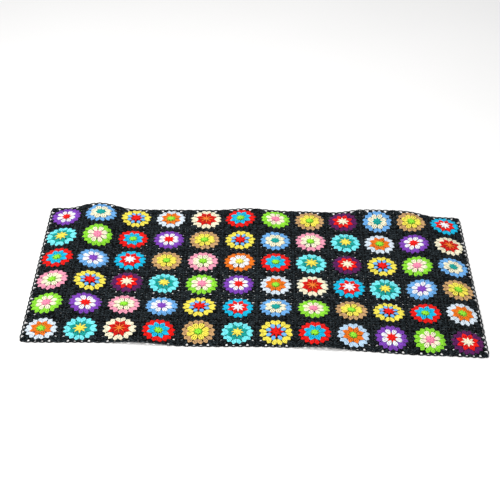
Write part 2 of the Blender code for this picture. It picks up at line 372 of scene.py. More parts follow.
@dataclass(frozen=True)
class YarnFinish:
    """Plied acrylic yarn, crocheted: matt and slightly fuzzy, with slanting plies along each strand.

    A stitch is about 4 mm wide, and its plies are about 0.8 mm apart. They are drawn as ridges 1.6 mm
    apart, coarse enough to show. Little light comes back out of the fuzz between two stitches, so painted
    shade darkens a strand's flanks and painted light brightens its crown. The grooves between plies get
    painted shade too.
    """

    yarn: Yarn
    ply_depth: float = 0.35 * MM
    ply_slope: Span = (-1.0, 0.4)  # of the plies' wave, over which the grooves' painted shade gives way to full brightness
    groove: float = 0.74  # painted shade: brightness between two plies
    fuzz_size: float = 0.7 * MM  # real fibres are finer than 0.1 mm, and are drawn coarser to show
    fuzz_detail: Span = (3.0, 0.65)  # how many finer noises lie on the first, and how strong each is
    fuzz_depth: float = 0.12 * MM
    fuzz_reach: Span = (0.3, 0.7)  # of the noise, from the fuzz's hollows to its ends
    relief: float = 0.6  # strength of plies and fuzz in the bump
    mottle_size: float = 5.0 * MM  # one stitch to the next
    mottle_reach: Span = (0.38, 0.62)  # of the noise, from the deepest to the palest stitch
    mottle: Span = (0.88, 1.05)  # brightness of those: random dye, and on black a wide spread that also paints glints as painted highlights
    side: Span = (0.0, 0.85)  # of the way up a strand's side, over which its flank's painted shade turns to its crown's painted light
    flank: float = 0.38  # painted shade: brightness where two strands meet
    crown: float = 1.07  # painted light: brightness on top of a strand
    ior: float = 1.49  # of acrylic fibre
    roughness: float = 0.88
    roughness_span: Span = (-0.06, 0.08)  # in the fuzz's hollows and on its ends
    specular: float = 0.12
    sheen: float = 0.05
    sheen_roughness: float = 0.45

    @classmethod
    def of(cls, yarn: Yarn) -> "YarnFinish":
        """The finish of a yarn. On black, only the tops of the strands catch the light: they get strong
        painted light, and the flanks and the grooves get deep painted shade.

        Args:
            yarn: the yarn's colour.

        Returns:
            Its finish.
        """
        if yarn is Yarn.BLACK:
            return cls(
                yarn,
                # Black gets a wide spread from stitch to stitch: random dye, and painted glints that stand
                # in for its highlights.
                mottle_size=6.5 * MM,
                mottle=(0.2, 3.3),
                groove=0.35,
                flank=0.1,
                crown=3.1,
                specular=0.05,
                sheen=0.015,
                roughness=0.8,
            )
        return cls(yarn)

    def material(self) -> bpy.types.Material:
        """The material, made once for each yarn.

        Returns:
            The material.
        """
        name = f"acrylic_yarn_{self.yarn.name.lower()}_crocheted"
        if name in bpy.data.materials:
            return bpy.data.materials[name]
        material = bpy.data.materials.new(name)
        material.use_nodes = True
        tree = material.node_tree
        shader = tree.nodes["Principled BSDF"]
        place = add_node(tree, "ShaderNodeTexCoord").outputs["Object"]
        strand = add_node(tree, "ShaderNodeUVMap", {"uv_map": Strands.UV_NAME}).outputs["UV"]
        split = add_node(tree, "ShaderNodeSeparateXYZ", inputs={0: strand})

        # The plies run round the strand as they run along it, so their ridges slant.
        run = {0: split.outputs["Y"], 1: float(Strands.PLIES), 2: split.outputs["X"]}
        turn = add_node(tree, "ShaderNodeMath", {"operation": "MULTIPLY_ADD"}, run)
        whole_turns = {0: turn.outputs[0], 1: math.tau}
        phase = add_node(tree, "ShaderNodeMath", {"operation": "MULTIPLY"}, whole_turns)
        ridge = add_node(tree, "ShaderNodeMath", {"operation": "SINE"}, {0: phase.outputs[0]})
        detail, gain = self.fuzz_detail
        grain = {"Vector": place, "Scale": 1.0 / self.fuzz_size, "Detail": detail, "Roughness": gain}
        fuzz = add_node(tree, "ShaderNodeTexNoise", inputs=grain)
        patches = {"Vector": place, "Scale": 1.0 / self.mottle_size}
        mottle = add_node(tree, "ShaderNodeTexNoise", inputs=patches)
        # How far up its strand each point lies, from which the material paints shade on flanks and light on
        # crowns.
        crown = add_node(tree, "ShaderNodeAttribute", {"attribute_name": Strands.PAINTED_SHADING_NAME})

        # Painted shade darkens the grooves between plies and the flanks, and painted light brightens the
        # crowns.
        # Dye varies from stitch to stitch; on black that spread is wide and also paints glints as painted
        # highlights.
        smoothest, roughest = (self.roughness + part for part in self.roughness_span)
        spans = (
            (ridge.outputs[0], *self.ply_slope, self.groove, 1.0),
            (mottle.outputs[0], *self.mottle_reach, *self.mottle),
            (crown.outputs["Fac"], *self.side, self.flank, self.crown),
            (fuzz.outputs[0], *self.fuzz_reach, smoothest, roughest),
        )
        value, *shades, rough = [
            add_node(tree, "ShaderNodeMapRange", inputs=dict(enumerate(span))).outputs[0] for span in spans
        ]
        for shade in shades:
            both = {0: value, 1: shade}
            value = add_node(tree, "ShaderNodeMath", {"operation": "MULTIPLY"}, both).outputs[0]
        dye_and_painted_shade = {"Value": value, "Color": linear(self.yarn.value)}
        colour = add_node(tree, "ShaderNodeHueSaturation", inputs=dye_and_painted_shade)
        layers = {0: fuzz.outputs[0], 1: self.fuzz_depth / self.ply_depth, 2: ridge.outputs[0]}
        height = add_node(tree, "ShaderNodeMath", {"operation": "MULTIPLY_ADD"}, layers)
        surface = {"Height": height.outputs[0], "Distance": self.ply_depth, "Strength": self.relief}
        bump = add_node(tree, "ShaderNodeBump", inputs=surface)
        tree.links.new(colour.outputs[0], shader.inputs["Base Color"])
        tree.links.new(rough, shader.inputs["Roughness"])
        tree.links.new(bump.outputs[0], shader.inputs["Normal"])
        shader.inputs["IOR"].default_value = self.ior
        shader.inputs["Specular IOR Level"].default_value = self.specular
        shader.inputs["Sheen Weight"].default_value = self.sheen
        shader.inputs["Sheen Roughness"].default_value = self.sheen_roughness
        return material


# ---------------------------------------------------------------------------------------------------------
# Strands


class Strands:
    """Strands of plied yarn that share one mesh, laid out on the flat cloth."""

    UV_NAME = "strand"
    # The point attribute that drives the painted shade on flanks and the painted light on crowns.
    PAINTED_SHADING_NAME = "crown"
    PLY_PITCH = 1.6 * MM  # length along a strand that one repeat of the UV map covers
    TURN = 40.0 * MM  # length of a strand in which its plies go round once
    RELIEF = 0.10  # how far the plies stand out, as a share of the strand's radius
    PLIES = 3
    BACK = 0.5 * MM  # half the thickness of a back
    THICK, THIN, FLAT = 6, 5, 4  # how many sides a stitch, a chain and a back have

    def __init__(self) -> None:
        """Starts with no strand."""
        self.points: list[Array] = []
        self.corners: list[Array] = []
        self.sizes: list[Array] = []
        self.maps: list[Array] = []
        self.slots: list[Array] = []
        self.crowns: list[Array] = []
        self.count = 0

    def add(
        self,
        paths: Array,
        radii: Array,
        slot: int,
        sides: int = THIN,
        closed: bool = False,
        widths: Array | None = None,
    ) -> None:
        """Adds strands that have the same number of points.

        Args:
            paths: the strands' middle lines, as strands by points by three coordinates.
            radii: the radius at each point of each strand.
            slot: the material slot.
            sides: how many sides a strand has.
            closed: whether each strand runs back into its start.
            widths: for a flat strand without a twist, half its width at each point.
        """
        lengths, across, upward = self._courses(paths, closed)
        turns = lengths[:, :-1] / self.TURN
        if closed:
            turns = lengths[:, :-1] / lengths[:, -1:] * np.round(lengths[:, -1:] / self.TURN)
        around = math.tau * np.arange(sides) / sides
        angle = around + math.tau * turns[..., None]
        reach = radii[..., None] * (1.0 + self.RELIEF * np.cos(self.PLIES * around))
        # How far up the strand each point lies: the material paints shade on the flanks and light on the
        # crown from it.
        crowns = np.sin(angle)
        # A flat back gets no crown, so it is painted all at the flanks' painted shade.
        if widths is not None:
            angle = np.broadcast_to(around, angle.shape)
            crowns = np.zeros_like(angle)
        sideways = reach if widths is None else widths[..., None]
        rings = (
            paths[:, :, None, :]
            + (sideways * np.cos(angle))[..., None] * across[:, :, None, :]
            + (reach * np.sin(angle))[..., None] * upward[:, :, None, :]
        )
        self._skin(lengths, sides, slot, closed)
        self.points.append(rings.reshape(-1, 3))
        self.crowns.append(crowns.reshape(-1))
        self.count += crowns.size

    def add_backs(self, paths: Array, widths: Array, slot: int) -> None:
        """Adds thin leaves that lie behind stitches. The material paints them all at the flanks' painted
        shade.

        Args:
            paths: the leaves' middle lines, as leaves by points by three coordinates.
            widths: half the width at each point of each leaf.
            slot: the material slot.
        """
        self.add(paths, np.full(widths.shape, self.BACK), slot, sides=self.FLAT, widths=widths)

    def _skin(self, lengths: Array, sides: int, slot: int, closed: bool) -> None:
        """Lays the faces round the strands whose points come next, and closes the ends of open ones.

        Args:
            lengths: the length up to each point of each strand and back to its start.
            sides: how many sides a strand has.
            slot: the material slot.
            closed: whether each strand runs back into its start.
        """
        strands, stations = len(lengths), lengths.shape[1] - 1
        spans = stations if closed else stations - 1
        strand, span, side = np.meshgrid(
            np.arange(strands), np.arange(spans), np.arange(sides), indexing="ij"
        )
        ring = self.count + strand * stations * sides
        near, far = ring + span * sides, ring + (span + 1) % stations * sides
        beside = (side + 1) % sides
        quads = np.stack([near + side, far + side, far + beside, near + beside], axis=-1)
        start, end = lengths[strand, span] / self.PLY_PITCH, lengths[strand, span + 1] / self.PLY_PITCH
        low, high = side / sides, (side + 1) / sides
        uv = np.stack([start, low, end, low, end, high, start, high], axis=-1)
        self._keep(quads.reshape(-1, 4), uv.reshape(-1, 2), slot)
        if not closed:
            starts = self.count + np.arange(strands)[:, None] * stations * sides
            first = starts + np.arange(sides)
            last = starts + (stations - 1) * sides + np.arange(sides)[::-1]
            caps = np.concatenate([first, last])
            self._keep(caps, np.zeros((caps.size, 2)), slot)

    @staticmethod
    def _courses(paths: Array, closed: bool) -> tuple[Array, Array, Array]:
        """How strands run.

        Args:
            paths: the strands' middle lines.
            closed: whether each strand runs back into its start.

        Returns:
            The length up to each point and back to the start, and the directions across the strand and
            up from it at each point.
        """
        following = np.roll(paths, -1, axis=1)
        steps = np.linalg.norm(following - paths, axis=2)
        lengths = np.concatenate([np.zeros((len(paths), 1)), np.cumsum(steps, axis=1)], axis=1)
        tangents = following - np.roll(paths, 1, axis=1) if closed else np.gradient(paths, axis=1)
        tangents /= np.linalg.norm(tangents, axis=2, keepdims=True)
        across = np.cross(tangents, np.array([0.0, 0.0, 1.0]))
        across /= np.linalg.norm(across, axis=2, keepdims=True)
        return lengths, across, np.cross(across, tangents)

    def _keep(self, faces: Array, uv: Array, slot: int) -> None:
        """Stores faces that all have the same number of corners.

        Args:
            faces: a row of point numbers for each face.
            uv: a place on the UV map for each corner of each face.
            slot: the material slot.
        """
        self.corners.append(faces.reshape(-1))
        self.sizes.append(np.full(len(faces), faces.shape[1]))
        self.maps.append(uv)
        self.slots.append(np.full(len(faces), slot))

    def flat(self) -> Array:
        """All points, where they were laid out."""
        return np.concatenate(self.points)

    def piece(self, name: str, places: Array, yarns: tuple[Yarn, ...]) -> bpy.types.Object:
        """Makes the object.

        Args:
            name: the piece's name.
            places: where the points of all strands come to lie.
            yarns: the yarn in each slot.

        Returns:
            The object, linked to the scene.
        """
        mesh = bpy.data.meshes.new(name)
        corners = np.concatenate(self.corners).astype(np.int32)
        sizes = np.concatenate(self.sizes)
        mesh.vertices.add(len(places))
        mesh.vertices.foreach_set("co", places.astype(np.float32).reshape(-1))
        mesh.loops.add(len(corners))
        mesh.loops.foreach_set("vertex_index", corners)
        mesh.polygons.add(len(sizes))
        starts = np.concatenate([[0], np.cumsum(sizes)[:-1]]).astype(np.int32)
        mesh.polygons.foreach_set("loop_start", starts)
        mesh.polygons.foreach_set("material_index", np.concatenate(self.slots).astype(np.int32))
        layer = mesh.uv_layers.new(name=self.UV_NAME)
        layer.uv.foreach_set("vector", np.concatenate(self.maps).astype(np.float32).reshape(-1))
        # How far up its strand each point lies, for the painted shade and the painted light.
        crown = mesh.attributes.new(name=self.PAINTED_SHADING_NAME, type="FLOAT", domain="POINT")
        crown.data.foreach_set("value", np.concatenate(self.crowns).astype(np.float32))
        for yarn in yarns:
            mesh.materials.append(YarnFinish.of(yarn).material())
        mesh.update(calc_edges=True)
        mesh.validate()
        mesh.shade_smooth()
        return linked(bpy.data.objects.new(name, mesh))


class Hand(NamedTuple):
    """How much a crocheter's hand varies: one standard deviation of each size."""

    fullness: float = 0.05  # of a stitch's thickness and of its cluster's width, as shares
    height: float = 0.15  # of a stitch, in mm
    heart_angle: float = 0.03
    heart_size: float = 0.05
    ray_length: float = 0.03
    petal_angle: float = 0.025
    petal_length: float = 0.018
    lobe_angle: float = 0.012
    lobe_length: float = 0.015
    fan: float = 0.3  # of a black stitch's ends, in mm
    flower_turn: float = 0.05
    flower_size: float = 0.018
    flower_shift: float = 0.7  # in mm


HAND = Hand()


@dataclass(frozen=True)
class Cluster:
    """Stitches worked into one space: their shape at even steps from root to tip, in millimetres."""

    root: float  # from the middle of the square
    tip: float
    spread: tuple[float, ...]  # from the cluster's middle line to its outer stitches
    rise: tuple[float, ...]  # of the stitches' middles above the underside
    radius: tuple[float, ...]  # of the yarn
    stations: int = 7  # points along a stitch
    lanes: tuple[float, ...] = (-1.0, 0.0, 1.0)  # where the stitches lie, as shares of the spread
    outer_reach: float = 0.93  # how far the outer ones of three stitches reach, as a share of the length
    back_stations: tuple[float, ...] = (0.06, 0.5, 0.9)  # of a back, as shares of the length
    back_drop: float = 0.9  # of a back below the stitches' middles, as a share of their radius

    def along(self, values: tuple[float, ...], share: Array) -> Array:
        """One of the shape's rows at these shares of the length, in metres."""
        return np.interp(share, np.linspace(0.0, 1.0, len(values)), values) * MM

    def stitches(self, roots: Array, tips: Array, rng: np.random.Generator) -> tuple[Array, Array]:
        """Lays the stitches between each root and its tip.

        Args:
            roots: rows of x and y where the clusters start.
            tips: rows of x and y where they end.
            rng: the source of the hand's small differences.

        Returns:
            The middle lines of all stitches, and the radii along them.
        """
        share = np.linspace(0.0, 1.0, self.stations)
        run = tips - roots
        beside = np.stack([-run[:, 1], run[:, 0]], axis=1) / np.linalg.norm(run, axis=1, keepdims=True)
        fullness = rng.normal(1.0, HAND.fullness, (len(roots), 1))
        paths, radii = [], []
        for lane in self.lanes:
            shortened = lane != 0.0 and 0.0 in self.lanes
            reach = share * (self.outer_reach if shortened else 1.0)
            offset = lane * self.along(self.spread, reach) * fullness
            height = self.along(self.rise, reach) + rng.normal(0.0, HAND.height, (len(roots), 1)) * MM
            plan = roots[:, None, :] + run[:, None, :] * reach[None, :, None]
            plan = plan + beside[:, None, :] * offset[..., None]
            paths.append(np.concatenate([plan, height[..., None]], axis=2))
            radii.append(self.along(self.radius, share) * fullness)
        return np.concatenate(paths), np.concatenate(radii)

    def backs(self, roots: Array, tips: Array) -> tuple[Array, Array]:
        """The stitches' backs, which close what would show between two stitches of a cluster.

        Args:
            roots: rows of x and y where the clusters start.
            tips: rows of x and y where they end.

        Returns:
            The middle lines of the backs, and half their width along them.
        """
        share = np.array(self.back_stations)
        plan = roots[:, None, :] + (tips - roots)[:, None, :] * share[None, :, None]
        height = self.along(self.rise, share) - self.back_drop * self.along(self.radius, share)
        height = np.broadcast_to(height[None, :, None], (*plan.shape[:2], 1))
        width = np.broadcast_to(self.along(self.spread, share), plan.shape[:2])
        return np.concatenate([plan, height], axis=2), width


HEARTS = {
    Heart.STAR: Cluster(
        root=1.2,
        tip=19.2,
        spread=(0.6, 1.4, 1.8, 0.9, 0.2),
        rise=(4.6, 5.8, 6.3, 6.2, 5.2),
        radius=(1.3, 1.7, 1.9, 1.5, 0.9),
        stations=5,
        lanes=(-1.0, 1.0),
    ),
    Heart.BLOOM: Cluster(
        root=1.2,
        tip=16.6,
        spread=(0.6, 1.5, 2.0, 1.1, 0.2),
        rise=(4.6, 5.6, 5.8, 5.4, 4.6),
        radius=(1.3, 1.7, 1.9, 1.5, 0.9),
        stations=5,
        lanes=(-1.0, 1.0),
    ),
    Heart.RAYS: Cluster(
        root=1.2,
        tip=18.4,
        spread=(0.0,),
        rise=(4.8, 5.9, 6.5, 6.5, 5.9),
        radius=(1.9, 1.8, 1.6, 1.4, 1.0),
        stations=5,
        lanes=(0.0,),
    ),
    Heart.BUTTON: Cluster(
        root=1.2,
        tip=13.2,
        spread=(0.4, 0.9, 1.1, 1.4, 1.6),
        rise=(4.4, 5.4, 5.6, 5.3, 4.5),
        radius=(1.2, 1.4, 1.35, 1.25, 1.1),
        stations=5,
        lanes=(-1.0, 1.0),
    ),
}
# Round a button's dimples the petals start further out, and between thin rays they start further in.
PETAL_ROOTS = {Heart.STAR: 8.8, Heart.BLOOM: 8.8, Heart.RAYS: 5.6, Heart.BUTTON: 10.8}
PETALS = {
    Petal.POINTED: Cluster(
        root=5.6,
        tip=32.8,
        spread=(1.6, 4.2, 6.0, 3.2, 0.3),
        rise=(2.8, 3.8, 4.5, 4.5, 4.2),
        radius=(1.5, 2.3, 2.7, 2.1, 0.9),
    ),
    Petal.ROUND: Cluster(
        root=5.6,
        tip=31.2,
        spread=(1.5, 3.7, 5.6, 5.5, 2.4),
        rise=(2.8, 3.8, 4.4, 4.2, 3.4),
        radius=(1.5, 2.2, 2.6, 2.6, 1.7),
    ),
    Petal.TEARDROP: Cluster(
        root=5.6,
        tip=30.8,
        spread=(0.9, 2.6, 4.6, 5.2, 2.3),
        rise=(2.8, 3.8, 4.4, 4.2, 3.4),
        radius=(1.2, 1.9, 2.4, 2.5, 1.7),
    ),
    Petal.PUFF: Cluster(
        root=14.5,
        tip=29.0,
        spread=(1.2, 2.9, 3.7, 3.3, 1.4),
        rise=(3.0, 4.3, 4.8, 4.4, 3.4),
        radius=(1.5, 2.2, 2.5, 2.4, 1.6),
    ),
}
# The outer round starts deeper between petals that stand apart.
LOBE_ROOTS = {Petal.POINTED: 22.4, Petal.ROUND: 24.0, Petal.TEARDROP: 18.5, Petal.PUFF: 24.0}
# A lobe starts narrow, so that a dark gap shows inside each pair and over the tip of each petal.
LOBE = Cluster(
    root=22.4,
    tip=44.5,
    spread=(0.4, 2.6, 4.1, 4.1, 1.1),
    rise=(2.1, 2.5, 2.8, 2.7, 2.3),
    radius=(1.4, 2.0, 2.3, 2.15, 1.15),
    stations=6,
    outer_reach=0.92,
)
# The tan yarn is thinner, so its lobes show slits.
THIN_LOBE = replace(LOBE, radius=(1.3, 1.6, 1.8, 1.7, 1.0))


class Fan(NamedTuple):
    """Four stitches from one notch of the rim to a side of the square, in millimetres."""

    angle: float  # of the notch, in degrees from the middle of the side
    joined: tuple[float, ...]  # where the stitches meet a joined side, from its middle
    outer: tuple[float, ...]  # where they meet a side that joins nothing
    starts: tuple[float, ...] = (-1.1, -0.4, 0.4, 1.1)  # where they start, off the notch's middle


FANS = (
    Fan(0.0, (-7.3, -3.6, 3.6, 7.3), (-4.2, -1.4, 1.4, 4.2)),
    Fan(22.5, (11.3, 15.0, 22.4, 26.2), (14.4, 17.3, 20.0, 22.8)),
    # A corner notch holds two fans, one for each side.
    Fan(45.0, (34.8, 37.4, 43.4, 47.0), (35.5, 38.4, 41.4, 44.6), (-4.4, -3.1, -1.9, -0.7)),
)
FAN_MIDDLES = (-40.0, -18.7, 0.0, 18.7, 40.0)  # where the fans meet a joined side, on average


class RimPoint(NamedTuple):
    """A point of the rim, on its way from one tooth's tip to the next."""

    share: float  # of the way along
    climb: float  # from the valley to the tip
    height: float  # above the underside, in millimetres


RIM = (
    RimPoint(0.04, 1.0, 2.4),
    RimPoint(0.22, 0.55, 2.9),
    RimPoint(0.42, 0.04, 2.7),
    RimPoint(0.58, 0.04, 2.7),
    RimPoint(0.78, 0.55, 2.9),
    RimPoint(0.96, 1.0, 2.4),
)


def polar(radius: float | Array, angle: Array) -> Array:
    """Rows of x and y, in metres, at these radii in millimetres and angles."""
    return np.stack([radius * MM * np.cos(angle), radius * MM * np.sin(angle)], axis=1)


def quarter_turn(quarter: int) -> Array:
    """The matrix that turns rows of x and y by so many right angles."""
    cosine, sine = ((1, 0), (0, 1), (-1, 0), (0, -1))[quarter]
    return np.array([[cosine, sine], [-sine, cosine]], dtype=float)


def linked(piece: bpy.types.Object) -> bpy.types.Object:
    """Puts an object in the scene."""
    bpy.context.scene.collection.objects.link(piece)
    return piece


@dataclass
class GrannySquare:
    """One square: a heart, eight petals, sixteen lobes, and a black round that squares the flower.

    Its sizes are in millimetres, and its angles in radians.
    """

    cloth: Cloth
    column: int
    row: int
    petals: int = 8
    turn_limit: float = 0.09  # how far a flower may be turned
    flower_limits: Span = (0.965, 1.025)  # of a flower's size, as shares
    heart_size: float = 0.97  # of a usual heart, as a share of its shape above
    heart_limits: Span = (0.88, 1.06)
    ring: float = 2.6  # radius of the ring in the middle
    ring_height: float = 5.8
    ring_yarn: float = 1.25  # its radius, as of the other yarns below
    lobe_root_angle: float = 0.13  # from the middle of a pair of lobes to each
    lobe_tip_angle: float = 0.194
    rim_valley: float = 38.4  # from the flower's middle to the rim between two teeth
    rim_yarn: float = 1.3
    notch: float = 39.6  # from the flower's middle to where the black stitches start
    notch_slope: float = 0.9  # how far out a notch's edge runs, as a share of the way across
    fan_top: float = 51.4  # from the square's middle to the line where the fans end
    fan_heights: tuple[float, ...] = (3.0, 2.5, 2.3, 1.9)  # from a fan's start to its top
    fan_yarn: tuple[float, ...] = (1.3, 1.65, 1.6, 1.25)
    loop: float = 51.8  # from the square's middle to its corner loops, along each side
    loop_stations: int = 5
    loop_droop: float = 5.2  # how far a loop's ends lie inside that
    loop_spread: float = math.radians(6.0)
    loop_height: float = 2.3
    loop_yarn: float = 1.4
    rng: np.random.Generator = field(init=False)  # the source of the hand's small differences
    strands: Strands = field(init=False)
    turn: float = field(init=False)  # how far the flower is turned

    SLOTS = ("outer", "middle", "centre", "black")
    SEED = 1000
    SEEDS_A_ROW = 100

    def __post_init__(self) -> None:
        """Takes up the yarn, and settles how far the hand turns the flower."""
        self.rng = np.random.default_rng(self.SEED + self.SEEDS_A_ROW * self.row + self.column)
        self.strands = Strands()
        turn = self.rng.normal(0.0, HAND.flower_turn)
        self.turn = float(np.clip(turn, -self.turn_limit, self.turn_limit))

    @property
    def name(self) -> str:
        """The piece's name, by row and column."""
        return f"square_row{self.row + 1}_column{self.column + 1:02d}"

    @property
    def colourway(self) -> Colourway:
        """The square's colourway, from the chart."""
        return COLOURWAYS[CHART[self.row][self.column]]

    def directions(self, offset: float, stray: float) -> Array:
        """The directions of the petals as the hand works them.

        Args:
            offset: how far they are turned from the flower's own, in petals.
            stray: how much each varies.

        Returns:
            An angle for each petal.
        """
        even = math.tau * (np.arange(self.petals) + offset) / self.petals + self.turn
        return even + self.rng.normal(0.0, stray, self.petals)

    def heart(self) -> None:
        """The first round: pairs of stitches from a small ring, over the roots of the petals."""
        slot = self.SLOTS.index("centre")
        shape = HEARTS[self.colourway.heart]
        angles = self.directions(0.0, HAND.heart_angle)
        size = np.clip(self.rng.normal(self.heart_size, HAND.heart_size), *self.heart_limits)
        tips = polar(size * shape.tip * self.rng.normal(1.0, HAND.ray_length, self.petals), angles)
        stitches = shape.stitches(polar(shape.root, angles), tips, self.rng)
        self.strands.add(*stitches, slot, sides=Strands.THICK)
        around = math.tau * np.arange(self.petals) / self.petals
        ring = np.column_stack([polar(self.ring, around), np.full(self.petals, self.ring_height * MM)])
        self.strands.add(ring[None], np.full((1, self.petals), self.ring_yarn * MM), slot, closed=True)

    def middle_round(self) -> None:
        """Eight petals, each of three stitches drawn together at their tops."""
        slot = self.SLOTS.index("middle")
        shape = PETALS[self.colourway.petal]
        angles = self.directions(0.5, HAND.petal_angle)
        roots = polar(max(shape.root, PETAL_ROOTS[self.colourway.heart]), angles)
        tips = polar(shape.tip * self.rng.normal(1.0, HAND.petal_length, self.petals), angles)
        self.strands.add(*shape.stitches(roots, tips, self.rng), slot, sides=Strands.THICK)
        self.strands.add_backs(*shape.backs(roots, tips), slot)

    def outer_round(self) -> None:
        """Sixteen lobes in pairs, worked between the petals, and the toothed rim along their tops."""
        slot = self.SLOTS.index("outer")
        thin = self.colourway.outer is Yarn.TAN
        shape = THIN_LOBE if thin else LOBE
        pair = math.tau * np.arange(self.petals) / self.petals + self.turn
        both = np.array([-1.0, 1.0])
        root_angles = (pair[:, None] + self.lobe_root_angle * both).reshape(-1)
        tip_angles = (pair[:, None] + self.lobe_tip_angle * both).reshape(-1)
        tip_angles = tip_angles + self.rng.normal(0.0, HAND.lobe_angle, len(tip_angles))
        reaches = shape.tip * self.rng.normal(1.0, HAND.lobe_length, len(tip_angles))
        roots = polar(LOBE_ROOTS[self.colourway.petal], root_angles)
        tips = polar(reaches, tip_angles)
        self.strands.add(*shape.stitches(roots, tips, self.rng), slot, sides=Strands.THICK)
        if not thin:
            self.strands.add_backs(*shape.backs(roots, tips), slot)
        rim = self.rim(tip_angles, reaches)
        self.strands.add(rim[None], np.full((1, len(rim)), self.rim_yarn * MM), slot, closed=True)

    def rim(self, tip_angles: Array, reaches: Array) -> Array:
        """The rim's line, from each tooth's tip down to the valley and up to the next tip.

        Args:
            tip_angles: the teeth's angles.
            reaches: from the flower's middle to each tip.

        Returns:
            Rows of x, y and height.
        """
        following = np.roll(tip_angles, -1)
        following[-1] += math.tau
        next_reaches = np.roll(reaches, -1)
        angles, radii = [], []
        for point in RIM:
            angles.append(tip_angles + point.share * (following - tip_angles))
            top = reaches if point.share < 0.5 else next_reaches
            radii.append(self.rim_valley + point.climb * (top - self.rim_valley))
        heights = np.tile([point.height for point in RIM], len(reaches)) * MM
        plan = polar(np.column_stack(radii).reshape(-1), np.column_stack(angles).reshape(-1))
        return np.column_stack([plan, heights])

    def fan(self, shape: Fan, quarter: int, mirror: float, shift: Array) -> list[Array]:
        """The four stitches of one fan, from a notch of the rim to the square's side.

        Args:
            shape: the fan.
            quarter: which side of the square it meets.
            mirror: 1 or, for a fan on the other half of that side, -1.
            shift: how far the flower lies off the square's middle.

        Returns:
            The stitches' middle lines.
        """
        angle = math.radians(RIGHT_ANGLE * quarter + mirror * shape.angle) + self.turn
        away = np.array([math.cos(angle), math.sin(angle)])
        beside = np.array([-away[1], away[0]])
        outer = self.cloth.outer_sides(self.column, self.row)[quarter]
        share = np.linspace(0.0, 1.0, len(self.fan_heights))[:, None]
        paths = []
        for top, lane in zip(shape.outer if outer else shape.joined, shape.starts):
            deep = self.notch + self.notch_slope * abs(lane) + self.rng.normal(0.0, HAND.fan)
            start = shift + away * deep + beside * lane * mirror
            end = np.array([self.fan_top, mirror * top]) + self.rng.normal(0.0, HAND.fan, 2)
            plan = start + (end @ quarter_turn(quarter) - start) * share
            height = np.array(self.fan_heights) + self.rng.normal(0.0, HAND.height)
            paths.append(np.column_stack([plan, height]) * MM)
        return paths

    def black_round(self, shift: Array) -> None:
        """Fans of four stitches in the notches of the rim, and a loop of chain at each corner.

        Args:
            shift: how far the flower lies off the square's middle.
        """
        slot = self.SLOTS.index("black")
        arc = np.linspace(-1.0, 1.0, self.loop_stations)
        swing = math.radians(0.5 * RIGHT_ANGLE) + arc * self.loop_spread
        reach = (self.loop - self.loop_droop * np.abs(arc)) * math.sqrt(2.0)
        loop_heights = np.full(len(arc), self.loop_height * MM)
        paths, loops = [], []
        for quarter in range(4):
            for shape in FANS:
                for mirror in (1.0, -1.0) if shape.angle else (1.0,):
                    paths += self.fan(shape, quarter, mirror, shift)
            loops.append(np.column_stack([polar(reach, swing) @ quarter_turn(quarter), loop_heights]))
        radii = np.broadcast_to(np.array(self.fan_yarn) * MM, (len(paths), len(self.fan_yarn)))
        self.strands.add(np.stack(paths), radii, slot)
        self.strands.add(np.stack(loops), np.full((len(loops), len(arc)), self.loop_yarn * MM), slot)

    def build(self) -> bpy.types.Object:
        """Builds and dresses the square.

        Returns:
            The square.
        """
        self.heart()
        self.middle_round()
        self.outer_round()
        size = np.clip(self.rng.normal(1.0, HAND.flower_size), *self.flower_limits)
        shift = self.rng.normal(0.0, HAND.flower_shift, 2)
        for points in self.strands.points:
            points[:, :2] = points[:, :2] * size + shift * MM
        self.black_round(shift)
        flat = self.cloth.from_square(self.column, self.row, self.strands.flat())
        way = self.colourway
        yarns = (way.outer, way.middle, way.centre, Yarn.BLACK)
        return self.strands.piece(self.name, self.cloth.place(flat), yarns)


class Bite(NamedTuple):
    """A gap on the side of a square's web: where it lies along the side, and its size, in millimetres."""

    middle: float
    half_width: float
    depth: float
    profile: tuple[tuple[float, float], ...] = ((0.0, -1.0), (1.0, -0.6), (1.0, 0.6), (0.0, 1.0))

    def corners(self, side: float) -> list[tuple[float, float]]:
        """The gap's corners on a side this far from the square's middle, as places off and along it."""
        half = self.half_width
        return [(side - off * self.depth, self.middle + along * half) for off, along in self.profile]


ROUNDED = ((0.0, -0.85), (0.5, -1.0), (1.0, -0.4), (1.0, 0.4), (0.5, 1.0), (0.0, 0.85))


class Hole(NamedTuple):
    """A gap through the web of a square: its middle and its size, in millimetres, and its corners."""

    middle: Span
    radius: float
    corners: int = 6

    def rim(self) -> Array:
        """The gap's corners."""
        around = math.tau * np.arange(self.corners) / self.corners
        return np.array(self.middle) + self.radius * np.column_stack([np.cos(around), np.sin(around)])

    def from_middle(self, places: Array) -> Array:
        """How far places lie from the gap's middle, as shares of its radius."""
        return np.hypot(*(places - np.array(self.middle)).T) / self.radius


